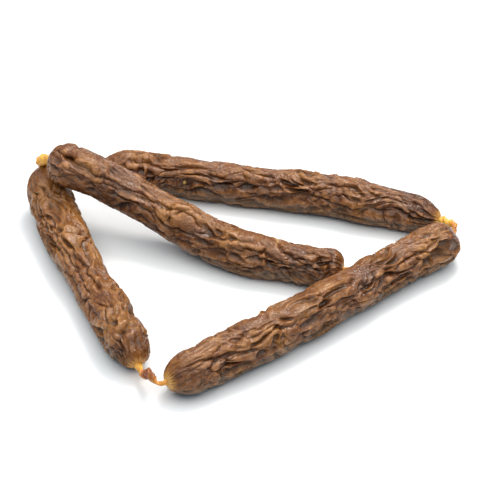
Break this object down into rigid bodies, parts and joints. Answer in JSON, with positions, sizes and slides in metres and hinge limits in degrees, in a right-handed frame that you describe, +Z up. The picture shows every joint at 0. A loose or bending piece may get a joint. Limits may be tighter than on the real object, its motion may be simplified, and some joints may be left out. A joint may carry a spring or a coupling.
{
  "type": "cured sausage",
  "caption": "String of thin air-dried snack sausages, wrinkled brown links joined end to end by twisted casing, lying on a table.",
  "frame": {"origin": "on the table, under the middle of the string's bounding box", "axes": "+X across the view from the link that lies front left to the far right neck, +Y away from the viewer, +Z up"},
  "size_m": [0.1744, 0.1477, 0.0343],
  "materials": {
    "cured_meat": "dry wrinkled skin, satin, brown with paler golden ridges and dark creases",
    "dried_casing": "translucent amber, waxy"
  },
  "bodies": {
    "root": {"sausage_link_1": "cured_meat", "sausage_link_2": "cured_meat", "sausage_link_3": "cured_meat", "sausage_link_4": "cured_meat", "casing_neck_1_2": "dried_casing", "casing_neck_2_3": "dried_casing", "casing_neck_3_4": "dried_casing", "casing_tail_1": "dried_casing", "casing_tail_4": "dried_casing"}
  },
  "joints": []
}
